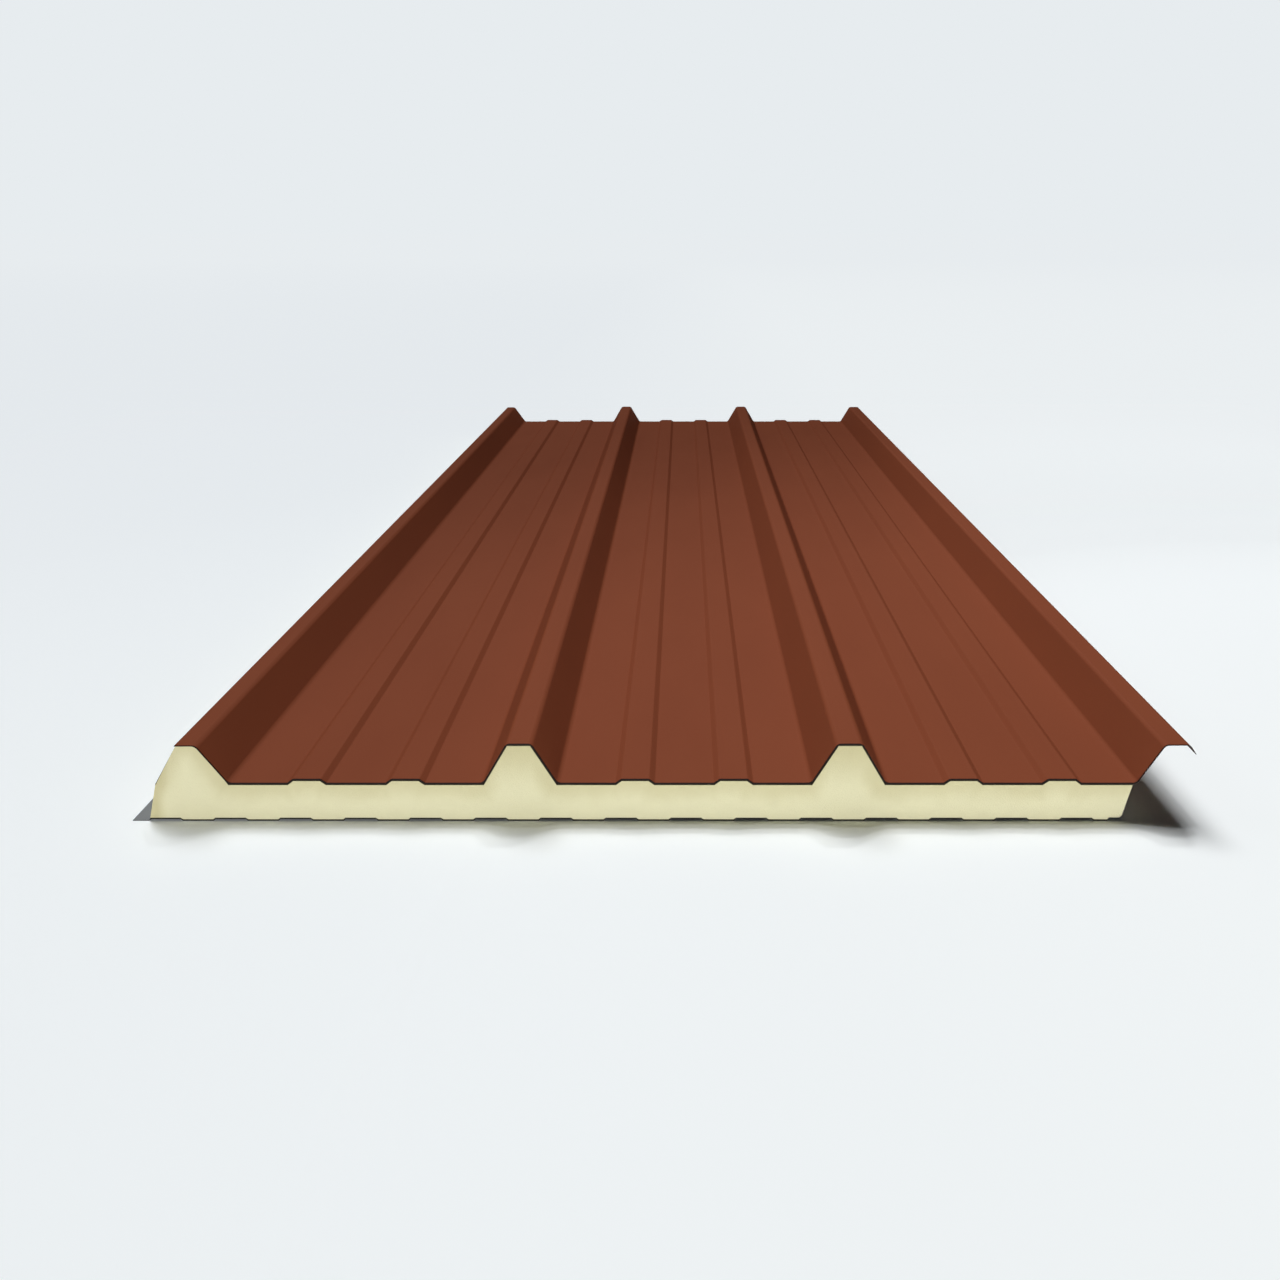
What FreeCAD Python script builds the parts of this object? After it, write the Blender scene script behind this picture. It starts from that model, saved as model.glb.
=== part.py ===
# An insulated roof panel: foam between a ribbed outer steel sheet and a finely profiled inner sheet.
#
# Millimetres. X runs across the panel, Y along it, +Z up. The section is drawn about the middle of
# the cover width and then moved so that the origin is the middle of the panel's footprint, on the
# plane that it lies on. One panel covers cover_width: the wing on its right side lies over the
# underlap rib of the next panel, and the next panel's lip runs in below its stepped edge.

import FreeCAD, Part
import math
import os

Vector = FreeCAD.Vector

# The panel as a whole
panel_length = 2500.0
cover_width = 1000.0
core_depth = 40.0          # foam in a pan, over low and raised strips alike
outer_thickness = 0.6
inner_thickness = 0.5

# Full ribs of the outer sheet, measured on its foam side, as every outer sheet size is
rib_spaces = 3             # rib spacings in one cover width
rib_height = 43.0
rib_base_width = 75.4
rib_crest_width = 24.8
rib_bend_radius = 6.0      # inside radius

# Minor ribs, two in each pan
minor_spacing = 100.0
minor_height = 4.4
minor_base_width = 39.8
minor_top_width = 28.0
minor_bend_radius = 2.0

# Side lap: the underlap rib on the left, and the wing on the right that lies over the next one
lap_clearance = 0.4
underlap_drop = 2.0        # below the full ribs
underlap_crest_reach = 7.6
underlap_base_reach = 36.5
underlap_edge_reach = 13.0
underlap_bend_radius = 7.0
wing_crest_reach = 16.1
wing_base_reach = 40.8
drip_lip_length = 12.0

# Foam on the left side
sheet_overhang = 1.3       # the outer sheet's edge past the foam
foam_knee_reach = 36.9

# Low and raised strips of the inner sheet
strips_per_cover = 15
strip_height = 1.8
strip_slope_run = 2.4
strip_offset = 1.7         # of the first low strip from the edge of the cover width
strip_bend_radius = 1.0

# Edges of the inner sheet
edge_step_height = 3.4
edge_step_run = 1.8
last_strip_width = 13.3
edge_step_width = 12.5
turned_edge_height = 12.0
turned_edge_radius = 4.0
lip_gap = 1.5
lip_width = 16.1
lip_slope_run = 3.7

# Heights of the foam's faces
low_strip_top = inner_thickness
raised_strip_top = low_strip_top + strip_height
edge_step_top = low_strip_top + edge_step_height
pan_bottom = (low_strip_top + raised_strip_top) / 2 + core_depth
crest_bottom = pan_bottom + rib_height
underlap_bottom = crest_bottom - underlap_drop
wing_bottom = underlap_bottom + outer_thickness + lap_clearance


def left_normal(start, end):
    """Unit vector to the left of the way from start to end, in the XZ plane."""
    along = (end - start).normalize()
    return Vector(-along.z, 0, along.x)


def along_of(normal):
    """The direction of travel whose left normal is given."""
    return Vector(normal.z, 0, -normal.x)


def bent_line(corners, wall, offset):
    """Lines and tangent arcs past corners (x, z, inside radius), moved to the left by offset.

    The wall of the bent sheet lies between offset 0 and offset wall, so that each bend's inside
    radius is on the side that the sheet turns towards, and both sides of the bend share a centre.
    """
    points = [Vector(x, 0, z) for x, z, radius in corners]
    normals = [left_normal(start, end) for start, end in zip(points, points[1:])]
    edges = []
    last = points[0] + normals[0] * offset
    for index in range(1, len(points) - 1):
        before = normals[index - 1]
        after = normals[index]
        half_turn = before.getAngle(after) / 2
        turns_left = before.cross(after).y < 0
        if turns_left:
            radius = corners[index][2] + max(0, wall) - offset
        else:
            radius = corners[index][2] - min(0, wall) + offset
        corner = points[index] + (before + after) * (offset / (1 + before.dot(after)))
        reach = radius * math.tan(half_turn)
        arc_start = corner - along_of(before) * reach
        arc_end = corner + along_of(after) * reach
        inwards = (along_of(after) - along_of(before)).normalize()
        arc_middle = corner + inwards * (radius / math.cos(half_turn) - radius)
        edges.append(Part.LineSegment(last, arc_start).toShape())
        edges.append(Part.Arc(arc_start, arc_middle, arc_end).toShape())
        last = arc_end
    edges.append(Part.LineSegment(last, points[-1] + normals[-1] * offset).toShape())
    return edges


def first_point(edges):
    return edges[0].valueAt(edges[0].FirstParameter)


def last_point(edges):
    return edges[-1].valueAt(edges[-1].LastParameter)


def extrude_section(edges):
    """The solid of a closed section over the panel's length."""
    wire = Part.Wire(Part.__sortEdges__(edges))
    section = Part.Face(wire)
    section.translate(Vector(0, -panel_length / 2, 0))
    return section.extrude(Vector(0, panel_length, 0))


def bent_sheet(corners, wall):
    """A sheet whose foam side runs past the corners and whose other side is wall to the left."""
    near_side = bent_line(corners, wall, 0)
    far_side = bent_line(corners, wall, wall)
    start_edge = Part.LineSegment(first_point(near_side), first_point(far_side)).toShape()
    end_edge = Part.LineSegment(last_point(near_side), last_point(far_side)).toShape()
    return extrude_section(near_side + [end_edge] + far_side + [start_edge])


def trapezium(middle, base_width, top_width, base_height, height, radius):
    """The four corners of a rib, from left to right."""
    return [
        (middle - base_width / 2, base_height, radius),
        (middle - top_width / 2, base_height + height, radius),
        (middle + top_width / 2, base_height + height, radius),
        (middle + base_width / 2, base_height, radius),
    ]


def full_rib(middle):
    return trapezium(middle, rib_base_width, rib_crest_width, pan_bottom, rib_height,
                     rib_bend_radius)


def minor_rib(middle):
    return trapezium(middle, minor_base_width, minor_top_width, pan_bottom, minor_height,
                     minor_bend_radius)


def underlap_rib():
    """The bends of the underlap rib: the end of its crest and the foot of its flank."""
    return [
        (underlap_line + underlap_crest_reach, underlap_bottom, underlap_bend_radius),
        (underlap_line + underlap_base_reach, pan_bottom, underlap_bend_radius),
    ]


def pans_and_ribs():
    """The bends between the underlap rib and the wing: minor ribs in each pan, and full ribs."""
    corners = []
    for space in range(rib_spaces):
        pan_middle = underlap_line + (space + 0.5) * rib_spacing
        corners += minor_rib(pan_middle - minor_spacing / 2)
        corners += minor_rib(pan_middle + minor_spacing / 2)
        if space < rib_spaces - 1:
            corners += full_rib(underlap_line + (space + 1) * rib_spacing)
    return corners


def overlap_wing():
    """The wing, whose crest and drip lip keep lap_clearance from the next underlap rib."""
    crest_end, flank_foot = underlap_rib()
    crest_point = Vector(crest_end[0] + cover_width, 0, crest_end[1])
    foot_point = Vector(flank_foot[0] + cover_width, 0, flank_foot[1])
    crest_normal = Vector(0, 0, 1)
    flank_normal = left_normal(crest_point, foot_point)
    sideways = (crest_normal + flank_normal) / (1 + crest_normal.dot(flank_normal))
    wing_corner = crest_point + sideways * (outer_thickness + lap_clearance)
    lip_tip = wing_corner + along_of(flank_normal) * drip_lip_length
    return [
        (wing_line - wing_base_reach, pan_bottom, rib_bend_radius),
        (wing_line - wing_crest_reach, wing_bottom, rib_bend_radius),
        (wing_corner.x, wing_corner.z, rib_bend_radius),
        (lip_tip.x, lip_tip.z, 0),
    ]


def strip_corners():
    """The bends of the low and raised strips, up to the start of the last low strip."""
    corners = []
    for strip in range(strips_per_cover):
        middle = underlap_line + strip_offset + strip * strip_pitch
        fall = middle - strip_pitch / 4
        rise = middle + strip_pitch / 4
        corners.append((fall - strip_slope_run / 2, raised_strip_top, strip_bend_radius))
        corners.append((fall + strip_slope_run / 2, low_strip_top, strip_bend_radius))
        if strip < strips_per_cover - 1:
            corners.append((rise - strip_slope_run / 2, low_strip_top, strip_bend_radius))
            corners.append((rise + strip_slope_run / 2, raised_strip_top, strip_bend_radius))
    return corners


underlap_line = -cover_width / 2
wing_line = cover_width / 2
rib_spacing = cover_width / rib_spaces
strip_pitch = cover_width / strips_per_cover

# The outer sheet's bends, and the foam's right corner where the wing starts to bend up
underlap_edge = (underlap_line - underlap_edge_reach, underlap_bottom, 0)
outer_bends = underlap_rib() + pans_and_ribs()
wing_bends = overlap_wing()
wing_flank_angle = math.atan2(wing_bottom - pan_bottom, wing_base_reach - wing_crest_reach)
wing_bend_reach = (rib_bend_radius + outer_thickness) * math.tan(wing_flank_angle / 2)
foam_right_corner = (wing_bends[0][0] - wing_bend_reach, pan_bottom, 0)

# The inner sheet's bends: strips, the step, and the turned-up edge along the foam's right side
inner_strips = strip_corners()
step_foot_x = inner_strips[-1][0] + last_strip_width
step_head_x = step_foot_x + edge_step_run
turned_edge_x = step_head_x + edge_step_width
edge_bends = [
    (step_foot_x, low_strip_top, strip_bend_radius),
    (step_head_x, edge_step_top, strip_bend_radius),
    (turned_edge_x, edge_step_top, turned_edge_radius),
]
edge_share = turned_edge_height / (pan_bottom - edge_step_top)
turned_edge_top = (
    turned_edge_x + (foam_right_corner[0] - turned_edge_x) * edge_share,
    edge_step_top + turned_edge_height,
    0,
)

# The inner sheet's lip, which ends beside the next panel's step
lip_edge_x = step_foot_x + lip_gap - cover_width
lip_foot_x = lip_edge_x + lip_width
lip_head_x = lip_foot_x + lip_slope_run
lip_edge = (lip_edge_x, low_strip_top, 0)
lip_foot = (lip_foot_x, low_strip_top, strip_bend_radius)
lip_head = (lip_head_x, raised_strip_top, strip_bend_radius)

# The foam's left side: down from the underlap rib to the middle of the lip's slope
foam_left_corner = (underlap_edge[0] + sheet_overhang, underlap_bottom, 0)
foam_knee = (underlap_line - foam_knee_reach, pan_bottom, 0)
foam_foot = ((lip_foot_x + lip_head_x) / 2, (low_strip_top + raised_strip_top) / 2, 0)


def make_outer_sheet():
    return bent_sheet([underlap_edge] + outer_bends + wing_bends, outer_thickness)


def make_inner_sheet():
    corners = [lip_edge, lip_foot, lip_head] + inner_strips + edge_bends + [turned_edge_top]
    return bent_sheet(corners, -inner_thickness)


def make_foam_core():
    """The foam, which fills the space between the two sheets' foam sides."""
    top = bent_line([foam_left_corner] + outer_bends + [foam_right_corner], outer_thickness, 0)
    bottom_corners = [foam_foot, lip_head] + inner_strips + edge_bends + [foam_right_corner]
    bottom = bent_line(bottom_corners, -inner_thickness, 0)
    knee = Vector(foam_knee[0], 0, foam_knee[1])
    left_side = [
        Part.LineSegment(first_point(top), knee).toShape(),
        Part.LineSegment(knee, first_point(bottom)).toShape(),
    ]
    return extrude_section(top + bottom + left_side)


nodes = {
    "outer_sheet": make_outer_sheet(),
    "foam_core": make_foam_core(),
    "inner_sheet": make_inner_sheet(),
}

left_end = min(shape.BoundBox.XMin for shape in nodes.values())
right_end = max(shape.BoundBox.XMax for shape in nodes.values())
to_origin = Vector(-(left_end + right_end) / 2, 0, 0)

os.makedirs("parts", exist_ok=True)
for name, shape in nodes.items():
    shape.translate(to_origin)
    shape.exportStep("parts/" + name + ".step")
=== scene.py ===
"""An insulated roof panel in Blender: two roll-formed steel sheets and the foam between them.

Metres. X runs across the panel, towards the wing that laps over the next panel, Y runs along the
ribs and Z is up. Each sheet is drawn as the line of its foam side, its bends are rounded, the line
is drawn out over the panel's length, and a wall gives it its thickness.
"""

import math
from collections import namedtuple

import bmesh
import bpy
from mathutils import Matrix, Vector


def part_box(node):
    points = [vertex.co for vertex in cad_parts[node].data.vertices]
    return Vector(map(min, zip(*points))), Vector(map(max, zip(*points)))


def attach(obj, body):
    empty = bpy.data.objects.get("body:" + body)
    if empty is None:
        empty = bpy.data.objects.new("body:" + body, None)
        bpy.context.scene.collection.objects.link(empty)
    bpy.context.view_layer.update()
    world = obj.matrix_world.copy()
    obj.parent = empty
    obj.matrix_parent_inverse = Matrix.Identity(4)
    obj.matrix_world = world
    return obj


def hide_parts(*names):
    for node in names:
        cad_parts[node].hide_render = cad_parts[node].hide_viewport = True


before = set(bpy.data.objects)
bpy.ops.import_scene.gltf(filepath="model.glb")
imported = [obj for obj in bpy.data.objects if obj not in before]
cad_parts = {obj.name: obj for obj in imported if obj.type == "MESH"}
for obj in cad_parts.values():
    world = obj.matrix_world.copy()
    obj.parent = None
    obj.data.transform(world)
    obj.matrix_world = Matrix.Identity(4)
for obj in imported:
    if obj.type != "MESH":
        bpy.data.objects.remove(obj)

bl_info = {
    "name": "Insulated roof panel",
    "version": (1, 0, 0),
    "blender": (4, 5, 0),
    "location": "View3D > Sidebar > Roof panel",
    "description": "Makes a ribbed insulated roof panel and a plain studio around it",
    "category": "Object",
}

BODY = "root"
UP = Vector((0, 0, 1))

# Values of the modelling steps
SEED_SIZE = 0.001
SAME_PLACE = 0.0001
MIN_SEGMENTS = 2
SEGMENT_ANGLE = math.radians(8)
SMOOTH_ANGLE = math.radians(30)
FLAT_WEIGHT = 100
END_FACING = 0.9
FIT_TOLERANCE = 0.0002

# The low and the high corner in a bound box's list of corners
LOW_CORNER, HIGH_CORNER = 0, 6

# Material slots: a sheet's back coat and cut edges, and the foam's sawn ends
BACK_SLOT, CUT_SLOT = 1, 2
SAWN_SLOT = 1

Corner = namedtuple("Corner", "x z bend")


def linear(red, green, blue):
    """A colour in linear light, from its screen values of 0 to 255."""
    shares = (value / 255 for value in (red, green, blue))
    return tuple(s / 12.92 if s <= 0.04045 else ((s + 0.055) / 1.055) ** 2.4 for s in shares)


def length(name, description, default):
    return bpy.props.FloatProperty(
        name=name, description=description, default=default, unit="LENGTH", precision=4
    )


def colour(name, description, red, green, blue):
    return bpy.props.FloatVectorProperty(
        name=name,
        description=description,
        default=linear(red, green, blue),
        subtype="COLOR",
        min=0.0,
        max=1.0,
    )


# Sizes, finishes and studio values


class PanelSizes(bpy.types.PropertyGroup):
    """The panel's section. Sizes of the outer sheet are those of its foam side."""

    cover_width: length("Cover width", "Width that one laid panel covers", 1.0)
    outer_thickness: length("Outer sheet", "Thickness of the outer sheet", 0.0006)
    inner_thickness: length("Inner sheet", "Thickness of the inner sheet", 0.0005)

    rib_height: length("Rib height", "Height of a full rib", 0.043)
    rib_base: length("Rib base", "Width of a full rib at the pan", 0.0754)
    rib_crest: length("Rib crest", "Width of a full rib's crest", 0.0248)
    rib_bend: length("Rib bend", "Inside radius of a full rib's bends", 0.006)

    minor_spacing: length("Minor spacing", "Between the two minor ribs of a pan", 0.1)
    minor_height: length("Minor height", "Height of a minor rib", 0.0044)
    minor_base: length("Minor base", "Width of a minor rib at the pan", 0.0398)
    minor_top: length("Minor top", "Width of a minor rib's top", 0.028)
    minor_bend: length("Minor bend", "Inside radius of a minor rib's bends", 0.002)

    lap_clearance: length("Lap clearance", "Between the wing and the rib below it", 0.0004)
    underlap_drop: length("Underlap drop", "Underlap rib below the full ribs", 0.002)
    underlap_crest: length("Underlap crest", "Lap line to the crest's right bend", 0.0076)
    underlap_base: length("Underlap base", "Lap line to the flank's foot", 0.0365)
    underlap_edge: length("Underlap edge", "Lap line to the sheet's left edge", 0.013)
    underlap_bend: length("Underlap bend", "Inside radius of the underlap's bends", 0.007)
    wing_crest: length("Wing crest", "Lap line to the wing crest's left bend", 0.0161)
    wing_base: length("Wing base", "Lap line to the wing's foot", 0.0408)
    drip_lip: length("Drip lip", "Length of the wing's turned-down lip", 0.012)

    sheet_overhang: length("Sheet overhang", "Outer sheet past the foam's left corner", 0.0013)
    foam_knee: length("Foam knee", "Lap line to the knee of the foam's left side", 0.0369)

    strip_height: length("Strip height", "Raised strips above low strips", 0.0018)
    strip_slope: length("Strip slope", "Width of the slope beside a strip", 0.0024)
    strip_offset: length("Strip offset", "Lap line to the first low strip's middle", 0.0017)
    strip_bend: length("Strip bend", "Inside radius of the strips' bends", 0.001)
    step_height: length("Step height", "Height of the step at the right edge", 0.0034)
    step_slope: length("Step slope", "Width of the step's slope", 0.0018)
    step_width: length("Step width", "Width of the step", 0.0125)
    last_strip: length("Last strip", "Width of the last low strip", 0.0133)
    turned_edge: length("Turned edge", "Height of the turned-up right edge", 0.012)
    turned_bend: length("Turned bend", "Inside radius of the turned-up edge", 0.004)
    lip_gap: length("Lip gap", "Between the lip and the next panel's step", 0.0015)
    lip_width: length("Lip width", "Width of the lip on the left", 0.0161)
    lip_slope: length("Lip slope", "Width of the slope beside the lip", 0.0037)

    rib_spaces: bpy.props.IntProperty(
        name="Rib spaces", description="Rib spacings in one cover width", default=3
    )
    strips: bpy.props.IntProperty(
        name="Strips", description="Low strips in one cover width", default=15
    )


class FinishColours(bpy.types.PropertyGroup):
    """The colours of the panel's finishes."""

    paint: colour("Outer paint", "Coil coating of the outer sheet", 131, 69, 44)
    paint_speck: colour("Paint speck", "Darker grains in the outer coating", 119, 62, 41)
    outer_back: colour("Outer back coat", "Primer on the outer sheet's foam side", 92, 54, 42)
    inner_back: colour("Inner back coat", "Grey coat on the inner sheet's foam side", 120, 124, 127)
    outer_cut: colour("Outer cut edge", "Cut edges of the outer sheet", 26, 14, 10)
    inner_cut: colour("Inner cut edge", "Cut edges of the inner sheet", 26, 26, 26)
    liner: colour("Inner paint", "Coil coating of the inner sheet", 214, 217, 215)
    foam: colour("Foam", "Sawn foam in the middle of the core", 230, 225, 188)
    # Painted shade on the foam's ends near the outer sheet, in the ribs and along the left side;
    # the same colour also darkens random flecks and the skin's flow waves
    foam_dark_tone_and_shade: colour("Foam rim", "Painted shade near the outer sheet, darker flecks and skin waves", 207, 199, 156)
    # A dark band painted on the foam's ends along each sheet's edge
    foam_edge_band: colour("Foam scorch", "Dark band on the foam along a sheet", 34, 26, 18)
    foam_skin: colour("Foam skin", "Moulded skin on the foam's sides", 214, 206, 164)


class StudioValues(bpy.types.PropertyGroup):
    """The floor, lamps and camera around the panel."""

    ground_dim: colour("Dim ground", "The floor at the far left", 227, 232, 236)
    ground_bright: colour("Bright ground", "The floor at the front right", 239, 243, 244)
    backdrop: colour("Backdrop", "Behind the floor", 231, 236, 239)
    ambient: bpy.props.FloatProperty(
        name="Ambient", description="Brightness of the air around the panel", default=0.005
    )
    camera_ahead: length("Camera ahead", "From the near end to the camera", 1.1493)
    camera_height: length("Camera height", "Above the full ribs' crests", 0.4905)
    camera_side: length("Camera side", "Right of the middle of the cover width", -0.0013)
    camera_pitch: bpy.props.FloatProperty(
        name="Camera pitch",
        description="Below the horizon",
        default=math.radians(18.31),
        subtype="ANGLE",
    )
    lens: bpy.props.FloatProperty(
        name="Lens", description="Focal length in millimetres", default=34.89
    )
    shift: bpy.props.FloatProperty(
        name="Shift", description="Sideways shift of the picture", default=-0.0337
    )


# Places, worked out from the frame


class Section:
    """The corners of the panel's section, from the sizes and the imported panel's boxes."""

    def __init__(self, sizes):
        self.sizes = sizes
        outer_low, outer_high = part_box("outer_sheet")
        inner_low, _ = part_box("inner_sheet")
        self.near = outer_low.y
        self.far = outer_high.y
        self.low_top = inner_low.z + sizes.inner_thickness
        self.raised_top = self.low_top + sizes.strip_height
        self.step_top = self.low_top + sizes.step_height
        self.crest = outer_high.z - sizes.outer_thickness
        self.pan = self.crest - sizes.rib_height
        self.underlap = self.crest - sizes.underlap_drop
        self.wing = self.underlap + sizes.outer_thickness + sizes.lap_clearance
        self.left_lap = outer_low.x + sizes.underlap_edge
        self.middle = self.left_lap + sizes.cover_width / 2
        self.right_lap = self.left_lap + sizes.cover_width
        self.rib_spacing = sizes.cover_width / sizes.rib_spaces
        self.strip_pitch = sizes.cover_width / sizes.strips

    def rib(self, middle, base, top, height, bend):
        """The four corners of a rib on the pan, from left to right."""
        return [
            Corner(middle - base / 2, self.pan, bend),
            Corner(middle - top / 2, self.pan + height, bend),
            Corner(middle + top / 2, self.pan + height, bend),
            Corner(middle + base / 2, self.pan, bend),
        ]

    def full_rib(self, middle):
        s = self.sizes
        return self.rib(middle, s.rib_base, s.rib_crest, s.rib_height, s.rib_bend)

    def minor_rib(self, middle):
        s = self.sizes
        return self.rib(middle, s.minor_base, s.minor_top, s.minor_height, s.minor_bend)

    def underlap_rib(self):
        s = self.sizes
        return [
            Corner(self.left_lap + s.underlap_crest, self.underlap, s.underlap_bend),
            Corner(self.left_lap + s.underlap_base, self.pan, s.underlap_bend),
        ]

    def pans_and_ribs(self):
        """The corners between the underlap rib and the wing."""
        s = self.sizes
        corners = []
        for space in range(s.rib_spaces):
            pan_middle = self.left_lap + (space + 0.5) * self.rib_spacing
            corners += self.minor_rib(pan_middle - s.minor_spacing / 2)
            corners += self.minor_rib(pan_middle + s.minor_spacing / 2)
            if space < s.rib_spaces - 1:
                corners += self.full_rib(self.left_lap + (space + 1) * self.rib_spacing)
        return corners

    def overlap_wing(self):
        """The wing, which keeps the lap clearance from the next panel's underlap rib."""
        s = self.sizes
        crest, foot = self.underlap_rib()
        crest_point = Vector((crest.x + s.cover_width, 0, crest.z))
        down = (Vector((foot.x + s.cover_width, 0, foot.z)) - crest_point).normalized()
        flank_normal = Vector((-down.z, 0, down.x))
        sideways = (UP + flank_normal) / (1 + UP.dot(flank_normal))
        bend_point = crest_point + sideways * (s.outer_thickness + s.lap_clearance)
        tip = bend_point + down * s.drip_lip
        return [
            Corner(self.right_lap - s.wing_base, self.pan, s.rib_bend),
            Corner(self.right_lap - s.wing_crest, self.wing, s.rib_bend),
            Corner(bend_point.x, bend_point.z, s.rib_bend),
            Corner(tip.x, tip.z, 0),
        ]

    def outer_line(self):
        """The foam side of the outer sheet, from its left edge to the drip lip."""
        edge = Corner(self.left_lap - self.sizes.underlap_edge, self.underlap, 0)
        return [edge] + self.underlap_rib() + self.pans_and_ribs() + self.overlap_wing()

    def strips(self):
        """The corners of the low and raised strips, up to the last low strip."""
        s = self.sizes
        half_slope = s.strip_slope / 2
        corners = []
        for strip in range(s.strips):
            middle = self.left_lap + s.strip_offset + strip * self.strip_pitch
            fall = middle - self.strip_pitch / 4
            rise = middle + self.strip_pitch / 4
            corners.append(Corner(fall - half_slope, self.raised_top, s.strip_bend))
            corners.append(Corner(fall + half_slope, self.low_top, s.strip_bend))
            if strip < s.strips - 1:
                corners.append(Corner(rise - half_slope, self.low_top, s.strip_bend))
                corners.append(Corner(rise + half_slope, self.raised_top, s.strip_bend))
        return corners

    def step(self):
        """The step and the turned-up bend at the inner sheet's right edge."""
        s = self.sizes
        foot = self.strips()[-1].x + s.last_strip
        head = foot + s.step_slope
        return [
            Corner(foot, self.low_top, s.strip_bend),
            Corner(head, self.step_top, s.strip_bend),
            Corner(head + s.step_width, self.step_top, s.turned_bend),
        ]

    def foam_right_corner(self):
        """Where the wing starts to bend up, and the foam ends."""
        s = self.sizes
        foot, crest = self.overlap_wing()[:2]
        flank_angle = math.atan2(crest.z - foot.z, crest.x - foot.x)
        reach = (s.rib_bend + s.outer_thickness) * math.tan(flank_angle / 2)
        return Corner(foot.x - reach, self.pan, 0)

    def turned_edge_top(self):
        bend = self.step()[-1]
        foam_corner = self.foam_right_corner()
        share = self.sizes.turned_edge / (foam_corner.z - bend.z)
        x = bend.x + (foam_corner.x - bend.x) * share
        return Corner(x, bend.z + self.sizes.turned_edge, 0)

    def lip(self):
        """The lip's edge, and the foot and the head of the slope beside it."""
        s = self.sizes
        edge_x = self.step()[0].x + s.lip_gap - s.cover_width
        foot_x = edge_x + s.lip_width
        return [
            Corner(edge_x, self.low_top, 0),
            Corner(foot_x, self.low_top, s.strip_bend),
            Corner(foot_x + s.lip_slope, self.raised_top, s.strip_bend),
        ]

    def inner_line(self):
        """The foam side of the inner sheet, from its lip to its turned-up edge."""
        return self.lip() + self.strips() + self.step() + [self.turned_edge_top()]

    def foam_outline(self):
        """The foam's section: along the inner sheet, up, back along the outer sheet, and down."""
        s = self.sizes
        lip_foot, lip_head = self.lip()[1:]
        right_corner = self.foam_right_corner()
        left_corner = Corner(
            self.left_lap - s.underlap_edge + s.sheet_overhang, self.underlap, 0
        )
        foot = Corner((lip_foot.x + lip_head.x) / 2, (lip_foot.z + lip_head.z) / 2, 0)
        bottom = with_foam_side_bends(
            [foot, lip_head] + self.strips() + self.step() + [right_corner],
            s.inner_thickness,
            sheet_above=False,
        )
        top = with_foam_side_bends(
            [left_corner] + self.underlap_rib() + self.pans_and_ribs() + [right_corner],
            s.outer_thickness,
            sheet_above=True,
        )
        knee = Corner(self.left_lap - s.foam_knee, self.pan, 0)
        return bottom + top[-2::-1] + [knee]


def with_foam_side_bends(corners, thickness, sheet_above):
    """The corners with their inside radii turned into radii of the sheet's foam side."""
    turned = [corners[0]]
    for before, corner, after in zip(corners, corners[1:], corners[2:]):
        rise_before = (corner.z - before.z) * (after.x - corner.x)
        rise_after = (after.z - corner.z) * (corner.x - before.x)
        bends_up = rise_after > rise_before
        bend = corner.bend
        if bends_up == sheet_above:
            bend += thickness
        turned.append(corner._replace(bend=bend))
    return turned + [corners[-1]]


# Modelling


def seed_vertex(name, corner, near):
    """A new object of one vertex at the section's first corner, in edit mode."""
    bpy.ops.object.select_all(action="DESELECT")
    bpy.ops.mesh.primitive_plane_add(size=SEED_SIZE, location=(corner.x, near, corner.z))
    piece = bpy.context.object
    piece.name = name
    piece.data.name = name
    bpy.ops.object.transform_apply(location=True, rotation=True, scale=True)
    bpy.ops.object.mode_set(mode="EDIT")
    bpy.ops.mesh.select_mode(type="VERT")
    bpy.ops.mesh.select_all(action="SELECT")
    bpy.ops.mesh.merge(type="CENTER")
    return piece


def draw_line(corners):
    """Draws the line on from the selected vertex, corner by corner."""
    for start, end in zip(corners, corners[1:]):
        way = (end.x - start.x, 0, end.z - start.z)
        bpy.ops.mesh.extrude_region_move(TRANSFORM_OT_translate={"value": way})


def select_vertex_at(piece, place):
    """Selects only the vertex that is nearest to the place, in edit mode."""
    mesh = bmesh.from_edit_mesh(piece.data)
    for vertex in mesh.verts:
        vertex.select = False
    nearest = min(mesh.verts, key=lambda vertex: (vertex.co - place).length_squared)
    nearest.select = True
    mesh.select_flush_mode()
    bmesh.update_edit_mesh(piece.data)


def round_bends(piece, corners, near, closed=False):
    """Rounds each corner that has a bend, by its own radius."""
    count = len(corners)
    for index, corner in enumerate(corners):
        if corner.bend == 0:
            continue
        if not closed and index in (0, count - 1):
            continue
        before = corners[index - 1]
        after = corners[(index + 1) % count]
        way_in = Vector((corner.x - before.x, 0, corner.z - before.z))
        way_out = Vector((after.x - corner.x, 0, after.z - corner.z))
        turn = way_in.angle(way_out)
        select_vertex_at(piece, Vector((corner.x, near, corner.z)))
        bpy.ops.mesh.bevel(
            offset_type="OFFSET",
            offset=corner.bend * math.tan(turn / 2),
            segments=max(MIN_SEGMENTS, round(turn / SEGMENT_ANGLE)),
            profile=0.5,
            affect="VERTICES",
        )


def draw_out(distance):
    """Draws all of the section out along the panel."""
    bpy.ops.mesh.select_all(action="SELECT")
    bpy.ops.mesh.extrude_region_move(TRANSFORM_OT_translate={"value": (0, distance, 0)})
    bpy.ops.mesh.select_all(action="SELECT")
    bpy.ops.mesh.normals_make_consistent(inside=False)


def apply_modifiers(piece):
    bpy.context.view_layer.objects.active = piece
    for modifier in list(piece.modifiers):
        bpy.ops.object.modifier_apply(modifier=modifier.name)


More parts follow.
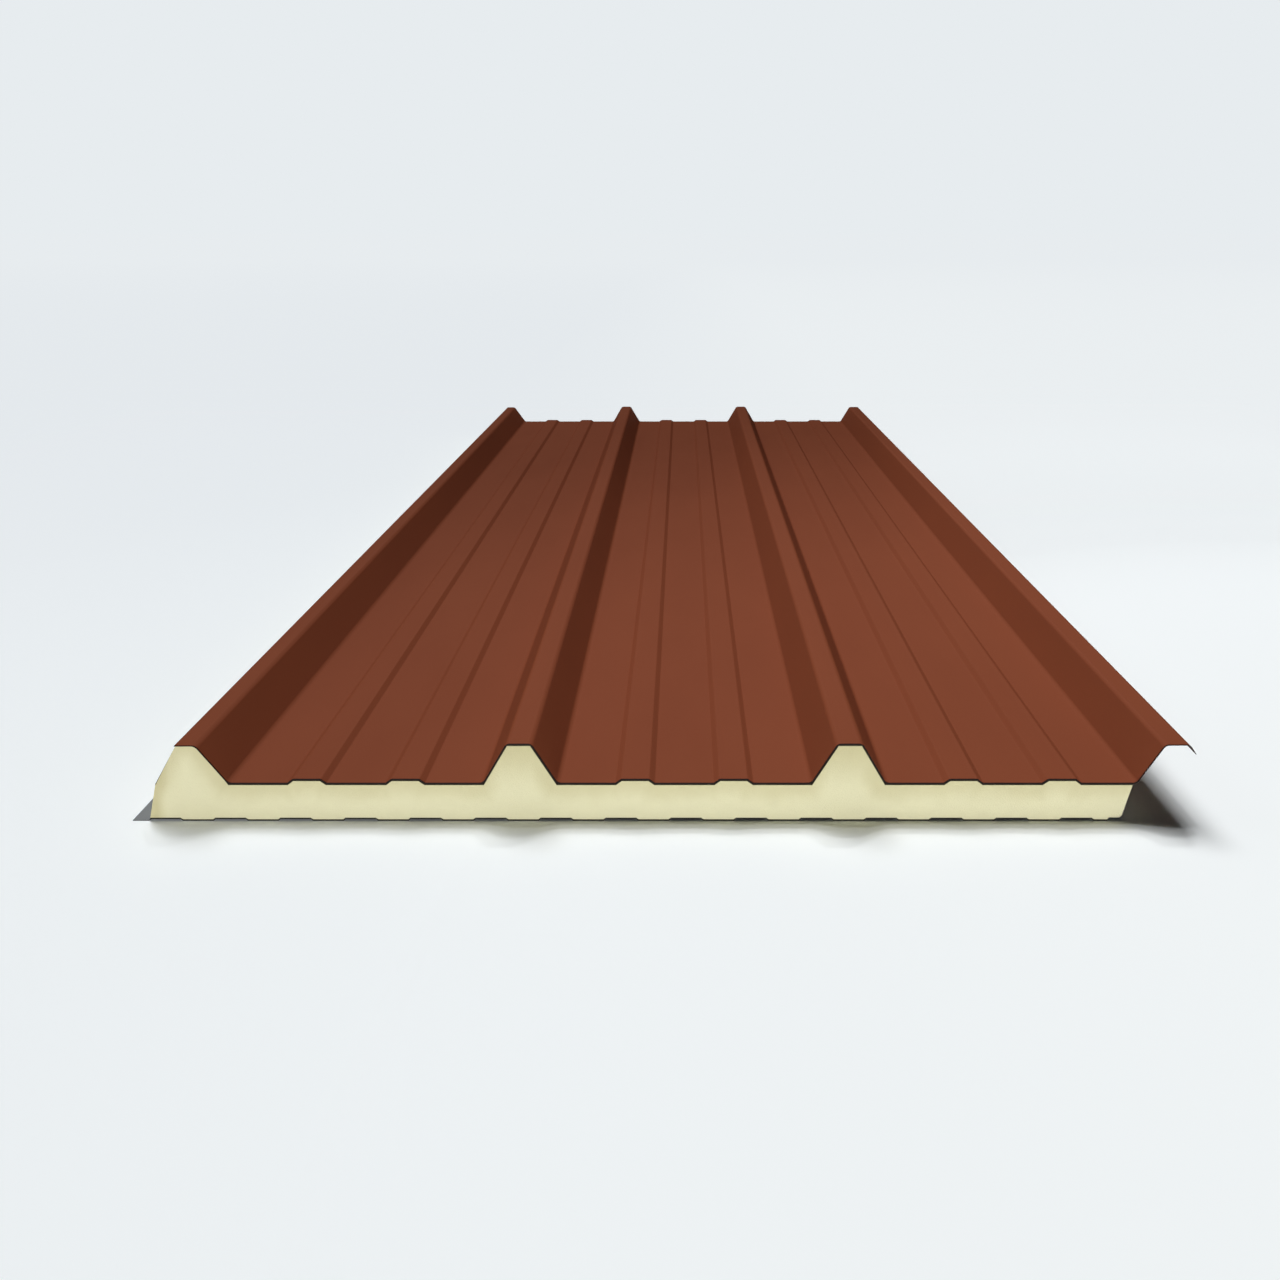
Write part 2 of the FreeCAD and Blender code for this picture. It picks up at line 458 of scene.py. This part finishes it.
def smooth_bends(piece):
    """Smooths the bends, and keeps the flats flat up to their edges."""
    bpy.ops.object.select_all(action="DESELECT")
    piece.select_set(True)
    bpy.context.view_layer.objects.active = piece
    bpy.ops.object.shade_smooth_by_angle(angle=SMOOTH_ANGLE)
    weighting = piece.modifiers.new("Flat pans", "WEIGHTED_NORMAL")
    weighting.keep_sharp = True
    weighting.weight = FLAT_WEIGHT
    apply_modifiers(piece)


def flip_if(piece, facing):
    """Turns the drawn surface over if its widest face looks away from the given way."""
    mesh = bmesh.from_edit_mesh(piece.data)
    widest = max(mesh.faces, key=lambda face: face.calc_area())
    if widest.normal.dot(facing) < 0:
        bpy.ops.mesh.flip_normals()


def form_sheet(name, line, thickness, section, outwards, finishes):
    """A roll-formed sheet, whose foam side is the line and whose wall lies outwards of it."""
    piece = seed_vertex(name, line[0], section.near)
    draw_line(line)
    round_bends(piece, line, section.near)
    draw_out(section.far - section.near)
    flip_if(piece, outwards)
    bpy.ops.object.mode_set(mode="OBJECT")
    for finish in finishes:
        piece.data.materials.append(finish)
    wall = piece.modifiers.new("Wall", "SOLIDIFY")
    wall.thickness = thickness
    wall.offset = 1
    wall.use_even_offset = True
    wall.material_offset = BACK_SLOT
    wall.material_offset_rim = CUT_SLOT
    apply_modifiers(piece)
    smooth_bends(piece)
    return piece


def check_fit(piece, node):
    """Stops if the piece isn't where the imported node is, which means that a size differs."""
    corners = (piece.bound_box[LOW_CORNER], piece.bound_box[HIGH_CORNER])
    for corner, place in zip(corners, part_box(node)):
        if (Vector(corner) - place).length > FIT_TOLERANCE:
            raise RuntimeError(f"{piece.name} doesn't fit {node}: {tuple(corner)}, {place}")


# Shader maths


# Sockets of the Mix node when it mixes colours. Each kind of mix has sockets of the same names.
MIX_FACTOR, MIX_FIRST, MIX_SECOND, MIX_COLOUR = 0, 6, 7, 2


class Field:
    """A socket of a node tree. Arithmetic on it adds Math nodes and gives a new field."""

    def __init__(self, tree, socket=None):
        self.tree = tree
        self.socket = socket

    def node(self, kind, settings=None, inputs=None, output=0):
        """Adds a node, makes its settings, fills or links its sockets, and gives an output."""
        made = self.tree.nodes.new(kind)
        for name, value in (settings or {}).items():
            setattr(made, name, value)
        for key, value in (inputs or {}).items():
            if isinstance(value, Field):
                self.tree.links.new(value.socket, made.inputs[key])
            else:
                made.inputs[key].default_value = value
        return Field(self.tree, made.outputs[output] if made.outputs else None)

    def math(self, operation, *others):
        """A number worked out from this number and the others."""
        inputs = dict(enumerate((self, *others)))
        return self.node("ShaderNodeMath", {"operation": operation}, inputs)

    def __add__(self, other):
        return self.math("ADD", other)

    __radd__ = __add__

    def __sub__(self, other):
        return self.math("SUBTRACT", other)

    def __rsub__(self, other):
        return (self * -1.0) + other

    def __mul__(self, other):
        return self.math("MULTIPLY", other)

    def __truediv__(self, other):
        return self.math("DIVIDE", other)

    def __rtruediv__(self, other):
        return self.math("POWER", -1.0) * other

    def least(self, other):
        return self.math("MINIMUM", other)

    def most(self, other):
        return self.math("MAXIMUM", other)

    def size(self):
        return self.math("ABSOLUTE")

    def contrast(self, start, gain):
        """A pattern with its start value moved to 0 and its differences made larger."""
        return (self - start) * gain

    def around(self, middle, swing):
        """A pattern of 0 to 1, turned into one that swings about the middle value."""
        return (self - 0.5) * swing + middle

    def swing(self, reach):
        """Runs up to reach and back to 0, again and again."""
        return self.math("PINGPONG", reach)

    def measure(self, operation, *others):
        """A number worked out from this vector, such as its length."""
        inputs = dict(enumerate((self, *others)))
        return self.node("ShaderNodeVectorMath", {"operation": operation}, inputs, "Value")

    def fade(self, start, end):
        """1 up to start, 0 from end on, with a soft change between them."""
        return self.node(
            "ShaderNodeMapRange",
            {"interpolation_type": "SMOOTHSTEP"},
            {"Value": self, "From Min": start, "From Max": end, "To Min": 1.0, "To Max": 0.0},
        )

    def blend(self, first, second):
        """The first colour where this field is 0 and the second where it is 1."""
        return self.node(
            "ShaderNodeMix",
            {"data_type": "RGBA"},
            {MIX_FACTOR: self, MIX_FIRST: opaque(first), MIX_SECOND: opaque(second)},
            MIX_COLOUR,
        )

    def vector(self, operation, *others):
        """A vector worked out from this vector and the others."""
        inputs = dict(enumerate((self, *others)))
        return self.node("ShaderNodeVectorMath", {"operation": operation}, inputs)


def opaque(shade):
    """A colour with an alpha of 1, or a field as it is."""
    return shade if isinstance(shade, Field) else (*shade, 1.0)


def new_material(name):
    """An empty material and the field that its nodes are made from."""
    material = bpy.data.materials.new(name)
    material.use_nodes = True
    material.node_tree.nodes.clear()
    return material, Field(material.node_tree)


def object_place(field):
    """The place on the object, as a vector field and its three parts."""
    place = field.node("ShaderNodeTexCoord", output="Object")
    parts = [field.node("ShaderNodeSeparateXYZ", None, {"Vector": place}, axis) for axis in "XYZ"]
    return place, parts


def noise(field, place, scale, detail=2.0, roughness=0.5):
    return field.node(
        "ShaderNodeTexNoise",
        None,
        {"Vector": place, "Scale": scale, "Detail": detail, "Roughness": roughness},
    )


def stretched(field, place, along):
    """The place with its Y divided, so that a pattern is long in the rolling direction."""
    return field.node("ShaderNodeMapping", None, {"Vector": place, "Scale": (1, 1 / along, 1)})


def bump(field, height, distance, strength=1.0):
    return field.node(
        "ShaderNodeBump", None, {"Height": height, "Distance": distance, "Strength": strength}
    )


def finish_with(field, **sockets):
    """Ends a material with one surface shader. Socket names are written with underscores."""
    named = {name.replace("_", " "): value for name, value in sockets.items()}
    surface = field.node("ShaderNodeBsdfPrincipled", None, named)
    field.node("ShaderNodeOutputMaterial", None, {"Surface": surface})


# Finishes


TORN_STEEL_GAIN = 1.5


def outer_paint(colours, section):
    """Matt coil coating: fine grains, a faint drift of tone, and a burr left by the saw."""
    burr_width = 0.0008
    burr_end = 0.0024
    material, field = new_material("outer_coil_coating")
    place, (_, along, _) = object_place(field)
    grains = noise(field, place, scale=900.0, detail=3.0, roughness=0.7)
    drift = noise(field, stretched(field, place, along=3.0), scale=9.0, detail=4.0)
    peel = noise(field, place, scale=420.0, detail=1.0)
    specks = grains.around(0.0, swing=0.9) + drift.around(0.35, swing=0.7)
    coat = specks.most(0.0).blend(colours.paint, colours.paint_speck)
    from_end = section.far - along.size()
    finish_with(
        field,
        Base_Color=from_end.fade(burr_width, burr_end).blend(coat, colours.outer_cut),
        Roughness=drift.around(0.68, swing=0.16),
        Specular_IOR_Level=0.04,
        Normal=bump(field, peel, distance=0.0001, strength=0.35),
    )
    return material


def plain_coat(name, shade, roughness, mottle):
    """A thin coat on steel, with a faint mottle along the rolling direction."""
    material, field = new_material(name)
    place, _ = object_place(field)
    streaks = noise(field, stretched(field, place, along=25.0), scale=160.0, detail=3.0)
    grains = noise(field, place, scale=700.0, detail=2.0)
    darker = tuple(part * (1 - mottle) for part in shade)
    mix = ((streaks + grains) * 0.5).contrast(start=0.3, gain=1.6)
    finish_with(
        field,
        Base_Color=mix.blend(tuple(shade), darker),
        Roughness=streaks.around(roughness, swing=0.2),
        Specular_IOR_Level=0.35,
        Normal=bump(field, grains, distance=0.00005, strength=0.3),
    )
    return material


def cut_steel(name, shade):
    """The cut edge of a coated sheet: dark, with fine tear marks."""
    material, field = new_material(name)
    place, _ = object_place(field)
    tears = noise(field, place, scale=1500.0, detail=2.0)
    lighter = tuple(min(1.0, part * TORN_STEEL_GAIN) for part in shade)
    finish_with(
        field,
        Base_Color=tears.contrast(start=0.4, gain=2.0).blend(tuple(shade), lighter),
        Roughness=tears.around(0.6, swing=0.3),
        Specular_IOR_Level=0.2,
        Normal=bump(field, tears, distance=0.00005, strength=0.5),
    )
    return material


def below_outer_sheet(section, across, height):
    """How deep a place on the foam's end lies below the outer sheet's pans and ribs."""
    s = section.sizes
    to_rib = (across - section.left_lap).swing(section.rib_spacing / 2)
    below_pan = section.pan - height

    def under_rib(to_middle, base, top, rise):
        run = (base - top) / 2
        slant = rise / math.hypot(run, rise)
        flank = (base / 2 + below_pan * (run / rise) - to_middle) * slant
        return flank.least(below_pan + rise)

    to_minor = ((section.rib_spacing / 2 - to_rib) - s.minor_spacing / 2).size()
    depth = below_pan.most(under_rib(to_rib, s.rib_base, s.rib_crest, s.rib_height))
    return depth.most(under_rib(to_minor, s.minor_base, s.minor_top, s.minor_height))


def above_inner_sheet(section, across, height):
    """How high a place on the foam's end lies above the inner sheet."""
    s = section.sizes
    first_low = section.left_lap + s.strip_offset
    to_low = (across - first_low).swing(section.strip_pitch / 2)
    raised = (to_low - (section.strip_pitch / 4 - s.strip_slope / 2)) / s.strip_slope
    raised = raised.most(0.0).least(1.0)
    return height - section.low_top - raised * s.strip_height


def foam_left_side(section, across, height):
    """How far a place on the foam's end lies from the foam's lower left side."""
    lip_foot, lip_head = section.lip()[1:]
    foot_x = (lip_foot.x + lip_head.x) / 2
    knee_x = section.left_lap - section.sizes.foam_knee
    lean = (knee_x - foot_x) / (section.pan - section.raised_top)
    return across - foot_x - (height - section.raised_top) * lean


def painted_rim_shade(section, across, height, waver):
    """1 where shade is painted on the foam's end, near the outer sheet, in the ribs and along the
    left side, and 0 in the middle.
    """
    rim_start, rim_end, rim_share = 0.002, 0.026, 0.75
    side_start, side_end = 0.004, 0.018
    underlap_start, underlap_end = 0.05, 0.09
    # The shadow shift moves the painted shade sideways, as a slanting light would
    shadow_shift, rib_foot = 0.004, 0.012
    depth = below_outer_sheet(section, across + shadow_shift, height) + waver
    from_left = foam_left_side(section, across, height)
    past_underlap = 1.0 - from_left.fade(underlap_start, underlap_end)
    # Painted shade that grows towards the crests, in the ribs past the underlap
    rib_shade = (1.0 - height.fade(section.pan - rib_foot, section.crest)) * past_underlap
    rim = (depth.fade(rim_start, rim_end) * rim_share).most(rib_shade)
    return rim.most((from_left + waver).fade(side_start, side_end))


def sawn_foam(colours, section):
    """The foam's sawn ends: fine cells, painted shade near the outer sheet, in the ribs and along
    the left side, and a dark band painted along the steel.
    """
    waver_reach = 0.016
    fleck_share = 0.2
    # Widths of the dark band painted along the outer and the inner sheet
    outer_edge_band = (0.0010, 0.0018)
    inner_edge_band = (0.0008, 0.0015)
    material, field = new_material("foam_sawn")
    place, (across, _, height) = object_place(field)
    waver = noise(field, place, scale=28.0, detail=3.0).around(0.0, swing=waver_reach)
    cells = field.node(
        "ShaderNodeTexVoronoi", {"feature": "F1"}, {"Vector": place, "Scale": 900.0}
    )
    clouds = noise(field, place, scale=45.0, detail=4.0, roughness=0.6)
    # Painted shade near the outer sheet, in the ribs and along the left side
    rim = painted_rim_shade(section, across, height, waver)
    shade = rim.blend(colours.foam, colours.foam_dark_tone_and_shade)
    flecks = ((cells + clouds * 0.6) * 0.5).contrast(start=0.28, gain=fleck_share)
    shade = flecks.most(0.0).blend(shade, colours.foam_dark_tone_and_shade)
    below_outer = below_outer_sheet(section, across, height)
    above_inner = above_inner_sheet(section, across, height)
    # A dark band painted on the foam along each sheet's edge
    edge_band = below_outer.fade(*outer_edge_band).most(above_inner.fade(*inner_edge_band))
    finish_with(
        field,
        Base_Color=edge_band.blend(shade, colours.foam_edge_band),
        Roughness=0.92,
        Specular_IOR_Level=0.15,
        Normal=bump(field, cells, distance=0.0004, strength=0.5),
    )
    return material


def skinned_foam(colours):
    """The foam's moulded sides: a smoother, slightly darker skin with shallow flow waves."""
    material, field = new_material("foam_skin")
    place, _ = object_place(field)
    flow = noise(field, stretched(field, place, along=4.0), scale=38.0, detail=4.0)
    pores = noise(field, place, scale=600.0, detail=2.0)
    flow_tone = flow.contrast(start=0.4, gain=1.8)
    finish_with(
        field,
        Base_Color=flow_tone.blend(colours.foam_skin, colours.foam_dark_tone_and_shade),
        Roughness=flow.around(0.75, swing=0.2),
        Specular_IOR_Level=0.25,
        Normal=bump(field, flow + pores * 0.15, distance=0.0015, strength=0.5),
    )
    return material


# Stage


# The offsets are from the middle of the cover width on the floor, and the front lamp's from the
# near end. A level of 1 shows white as white. The spots' leans are to the right and back.
SOFTBOX_OFFSET = Vector((-3.7, 9.0, 18.0))
SOFTBOX_WIDTH = 7.0
SOFTBOX_DEPTH = 11.0
SOFTBOX_LEVEL = 0.65
POOL_OFFSET = Vector((1.18, -1.5, 0))
SPOT_LEANS = ((-0.12, 0.2), (0.0, 0.45), (0.1, 0.7))
SPOT_REACH = 20.0
SPOT_SIZE = 0.7
SPOT_LEVEL = 0.143
# The pool's edge: the spots' cone, and where the light that they give starts to fade and ends.
SPOT_RADIUS = 2.1
SPOT_BLEND = 0.4
SPOT_FULL = 1.0
SPOT_END = 2.65
LEFT_OFFSET = Vector((-4.6, 0, 3.9))
LEFT_SIZE = 2.0
LEFT_LEVEL = 0.03
FRONT_OFFSET = Vector((-0.9, -9.0, 0.12))
FRONT_WIDTH = 2.0
FRONT_DEPTH = 0.3
FRONT_LEVEL = 0.66
LEAST_FACING = 0.01

# The floor is lit up to FLOOR_LIT from the middle of the panel, and only glows past FLOOR_UNLIT.
FLOOR_SIZE = 400.0
FLOOR_LEVEL = 0.94
FLOOR_LIT = 1.4
FLOOR_UNLIT = 2.4
TONE_MIDDLE = 0.35
TONE_SIDE_GAIN = 0.4
TONE_SIDE_REACH = 0.625
TONE_SIDE_END = 25.0
TONE_FRONT_GAIN = 0.4
TONE_FRONT = -1.9
TONE_BACK = 0.5

Lamp = namedtuple("Lamp", "name kind place target size depth level")


def studio_lamps(section):
    """A long softbox and spotlights overhead, a soft lamp on the left and a low one in front."""
    middle = Vector((section.middle, 0, 0))
    near_face = Vector((section.middle, section.near, section.pan))
    lamps = [
        Lamp(
            "softbox", "AREA", middle + SOFTBOX_OFFSET, middle,
            SOFTBOX_WIDTH, SOFTBOX_DEPTH, SOFTBOX_LEVEL,
        ),
        Lamp(
            "left_lamp", "AREA", middle + LEFT_OFFSET, middle,
            LEFT_SIZE, LEFT_SIZE, LEFT_LEVEL,
        ),
        Lamp(
            "front_lamp", "AREA", near_face + FRONT_OFFSET, near_face,
            FRONT_WIDTH, FRONT_DEPTH, FRONT_LEVEL,
        ),
    ]
    pool = middle + POOL_OFFSET
    for number, (right, back) in enumerate(SPOT_LEANS, 1):
        aim = Vector((right, back, 1.0)).normalized()
        place = pool + aim * SPOT_REACH
        level = SPOT_LEVEL / aim.z
        lamps.append(Lamp(f"spotlight_{number}", "SPOT", place, pool, SPOT_SIZE, SPOT_SIZE, level))
    return lamps


def lamp_direction(lamp):
    return (lamp.target - lamp.place).normalized()


def lamp_power(lamp):
    """Watts at which the lamp gives its level to a white face turned to it at its target."""
    power = lamp.level * math.pi ** 2 * (lamp.target - lamp.place).length_squared
    return 4 * power if lamp.kind == "SPOT" else power


def floor_light(place, lamps):
    """The light on the bare floor, as a share of the light that shows white as white."""
    total = 0.0
    for lamp in lamps:
        away = place.vector("SUBTRACT", tuple(lamp.place))
        distance = away.measure("LENGTH")
        ahead = away.measure("DOT_PRODUCT", tuple(lamp_direction(lamp)))
        facing = ahead.most(LEAST_FACING) / distance
        reach_squared = (lamp.target - lamp.place).length_squared
        strength = lamp.level * reach_squared
        if lamp.kind == "SPOT":
            aside = (1.0 / (facing * facing) - 1.0).math("SQRT") * SPOT_REACH
            facing = aside.fade(SPOT_FULL, SPOT_END)
        else:
            # A large lamp's outer parts are further away, so it gives a little less.
            strength *= 1 - (lamp.size ** 2 + lamp.depth ** 2) / (6 * reach_squared)
        total = total + facing * (lamp.place.z / distance) * strength / (distance * distance)
    return total


def ground_tone(across, along):
    """0 for the dim far left of the floor and 1 for its bright front right."""
    frontness = along.fade(TONE_FRONT, TONE_BACK) * TONE_FRONT_GAIN
    side = across.most(-TONE_SIDE_REACH).least(TONE_SIDE_REACH) * TONE_SIDE_GAIN
    return side * along.fade(0.0, TONE_SIDE_END) + frontness + TONE_MIDDLE


def ground_material(studio, lamps):
    """A pale floor. Away from the panel, and where the lamps leave it dim, it glows instead."""
    material, field = new_material("pale_ground")
    place, (across, along, _) = object_place(field)
    tones = [Vector(tone) / FLOOR_LEVEL for tone in (studio.ground_dim, studio.ground_bright)]
    ground = ground_tone(across, along).blend(*tones)
    seen = field.node("ShaderNodeLightPath", output="Is Camera Ray")
    lit = across.size().most(along.size()).fade(FLOOR_LIT, FLOOR_UNLIT)
    lack = (FLOOR_LEVEL - floor_light(place, lamps) * lit).most(0.0) * seen
    finish_with(
        field,
        Base_Color=lit.blend((0.0, 0.0, 0.0), ground),
        Roughness=1.0,
        Specular_IOR_Level=0.0,
        Emission_Color=lack.blend((0.0, 0.0, 0.0), ground),
        Emission_Strength=1.0,
    )
    return material


def make_world(studio):
    """Dim air around the panel, behind which the camera sees the backdrop's colour."""
    world = bpy.data.worlds.new("studio_air")
    world.use_nodes = True
    world.node_tree.nodes.clear()
    field = Field(world.node_tree)
    seen = field.node("ShaderNodeLightPath", output="Is Camera Ray")
    air = seen.blend((studio.ambient,) * 3, tuple(studio.backdrop))
    light = field.node("ShaderNodeBackground", None, {"Color": air, "Strength": 1.0})
    field.node("ShaderNodeOutputWorld", None, {"Surface": light})
    bpy.context.scene.world = world


# Operators


def sizes_of(context):
    return context.scene.panel_sizes


class PANEL_OT_outer_sheet(bpy.types.Operator):
    """Form the ribbed outer sheet, with its underlap rib, wing and drip lip"""

    bl_idname = "roof_panel.outer_sheet"
    bl_label = "Outer sheet"

    def execute(self, context):
        sizes = sizes_of(context)
        colours = context.scene.finish_colours
        section = Section(sizes)
        line = with_foam_side_bends(
            section.outer_line(), sizes.outer_thickness, sheet_above=True
        )
        finishes = [
            outer_paint(colours, section),
            plain_coat("outer_back_coat", colours.outer_back, roughness=0.5, mottle=0.08),
            cut_steel("outer_cut_edge", colours.outer_cut),
        ]
        piece = form_sheet(
            "ribbed_sheet", line, sizes.outer_thickness, section, UP, finishes
        )
        check_fit(piece, "outer_sheet")
        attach(piece, BODY)
        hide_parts("outer_sheet")
        return {"FINISHED"}


class PANEL_OT_inner_sheet(bpy.types.Operator):
    """Form the finely profiled inner sheet, with its lip and turned-up edge"""

    bl_idname = "roof_panel.inner_sheet"
    bl_label = "Inner sheet"

    def execute(self, context):
        sizes = sizes_of(context)
        colours = context.scene.finish_colours
        section = Section(sizes)
        line = with_foam_side_bends(
            section.inner_line(), sizes.inner_thickness, sheet_above=False
        )
        finishes = [
            plain_coat("inner_coil_coating", colours.liner, roughness=0.45, mottle=0.04),
            plain_coat("inner_back_coat", colours.inner_back, roughness=0.55, mottle=0.1),
            cut_steel("inner_cut_edge", colours.inner_cut),
        ]
        piece = form_sheet(
            "liner_sheet", line, sizes.inner_thickness, section, -UP, finishes
        )
        check_fit(piece, "inner_sheet")
        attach(piece, BODY)
        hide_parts("inner_sheet")
        return {"FINISHED"}


class PANEL_OT_foam_core(bpy.types.Operator):
    """Fill the space between the sheets with foam, with sawn ends and moulded sides"""

    bl_idname = "roof_panel.foam_core"
    bl_label = "Foam core"

    def execute(self, context):
        section = Section(sizes_of(context))
        colours = context.scene.finish_colours
        outline = section.foam_outline()
        piece = seed_vertex("foam_block", outline[0], section.near)
        draw_line(outline)
        self.close_outline(piece, outline, section.near)
        round_bends(piece, outline, section.near, closed=True)
        bpy.ops.mesh.select_all(action="SELECT")
        bpy.ops.mesh.edge_face_add()
        draw_out(section.far - section.near)
        bpy.ops.mesh.select_all(action="DESELECT")
        piece.data.materials.append(skinned_foam(colours))
        piece.data.materials.append(sawn_foam(colours, section))
        self.finish_ends(piece)
        bpy.ops.object.mode_set(mode="OBJECT")
        smooth_bends(piece)
        check_fit(piece, "foam_core")
        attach(piece, BODY)
        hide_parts("foam_core")
        return {"FINISHED"}

    @staticmethod
    def close_outline(piece, outline, near):
        """Joins the outline's last corner to its first."""
        mesh = bmesh.from_edit_mesh(piece.data)
        ends = [Vector((corner.x, near, corner.z)) for corner in (outline[0], outline[-1])]
        for vertex in mesh.verts:
            vertex.select = min((vertex.co - end).length for end in ends) < SAME_PLACE
        mesh.select_flush_mode()
        bmesh.update_edit_mesh(piece.data)
        bpy.ops.mesh.edge_face_add()

    @staticmethod
    def finish_ends(piece):
        """Gives the sawn finish to the two ends."""
        bpy.ops.mesh.select_mode(type="FACE")
        mesh = bmesh.from_edit_mesh(piece.data)
        for face in mesh.faces:
            face.select = abs(face.normal.y) > END_FACING
        bmesh.update_edit_mesh(piece.data)
        piece.active_material_index = SAWN_SLOT
        bpy.ops.object.material_slot_assign()


class PANEL_OT_stage(bpy.types.Operator):
    """Set up the pale floor, the lamps, the air and the camera"""

    bl_idname = "roof_panel.stage"
    bl_label = "Stage"

    def execute(self, context):
        section = Section(sizes_of(context))
        studio = context.scene.studio_values
        lamps = studio_lamps(section)
        self.add_floor(studio, lamps)
        for lamp in lamps:
            self.add_lamp(lamp)
        make_world(studio)
        self.add_camera(context, section, studio)
        context.scene.view_settings.view_transform = "Standard"
        return {"FINISHED"}

    @staticmethod
    def add_floor(studio, lamps):
        bpy.ops.object.select_all(action="DESELECT")
        bpy.ops.mesh.primitive_plane_add(size=FLOOR_SIZE, location=(0, 0, 0))
        floor = bpy.context.object
        floor.name = "studio_floor"
        floor.data.materials.append(ground_material(studio, lamps))

    @staticmethod
    def add_lamp(lamp):
        turn = lamp_direction(lamp).to_track_quat("-Z", "Y").to_euler()
        bpy.ops.object.light_add(type=lamp.kind, location=lamp.place, rotation=turn)
        light = bpy.context.object
        light.name = lamp.name
        light.visible_camera = False
        light.data.energy = lamp_power(lamp)
        if lamp.kind == "SPOT":
            light.data.shadow_soft_size = lamp.size
            light.data.spot_size = 2 * math.atan(SPOT_RADIUS / SPOT_REACH)
            light.data.spot_blend = SPOT_BLEND
        else:
            light.data.shape = "RECTANGLE"
            light.data.size = lamp.size
            light.data.size_y = lamp.depth

    @staticmethod
    def add_camera(context, section, studio):
        place = (
            section.middle + studio.camera_side,
            section.near - studio.camera_ahead,
            section.crest + section.sizes.outer_thickness + studio.camera_height,
        )
        turn = (math.pi / 2 - studio.camera_pitch, 0, 0)
        bpy.ops.object.camera_add(location=place, rotation=turn)
        camera = context.object
        camera.name = "view_camera"
        camera.data.lens = studio.lens
        camera.data.shift_x = studio.shift
        context.scene.camera = camera


class PANEL_PT_sidebar(bpy.types.Panel):
    """Lists the panel's pieces, sizes, colours and studio values."""

    bl_idname = "PANEL_PT_sidebar"
    bl_label = "Insulated roof panel"
    bl_space_type = "VIEW_3D"
    bl_region_type = "UI"
    bl_category = "Roof panel"

    def draw(self, context):
        layout = self.layout
        for operator in PIECE_OPERATORS:
            layout.operator(operator.bl_idname)
        for group in (
            context.scene.panel_sizes,
            context.scene.finish_colours,
            context.scene.studio_values,
        ):
            box = layout.box()
            for name in group.bl_rna.properties.keys():
                if name not in ("rna_type", "name"):
                    box.prop(group, name)


PIECE_OPERATORS = (
    PANEL_OT_stage,
    PANEL_OT_inner_sheet,
    PANEL_OT_foam_core,
    PANEL_OT_outer_sheet,
)
CLASSES = (PanelSizes, FinishColours, StudioValues, *PIECE_OPERATORS, PANEL_PT_sidebar)


def register():
    for cls in CLASSES:
        bpy.utils.register_class(cls)
    bpy.types.Scene.panel_sizes = bpy.props.PointerProperty(type=PanelSizes)
    bpy.types.Scene.finish_colours = bpy.props.PointerProperty(type=FinishColours)
    bpy.types.Scene.studio_values = bpy.props.PointerProperty(type=StudioValues)


def unregister():
    del bpy.types.Scene.panel_sizes
    del bpy.types.Scene.finish_colours
    del bpy.types.Scene.studio_values
    for cls in reversed(CLASSES):
        bpy.utils.unregister_class(cls)


def main():
    """Registers the classes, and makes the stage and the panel."""
    register()
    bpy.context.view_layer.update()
    bpy.ops.roof_panel.stage()
    bpy.ops.roof_panel.inner_sheet()
    bpy.ops.roof_panel.foam_core()
    bpy.ops.roof_panel.outer_sheet()


if __name__ == "__main__":
    main()
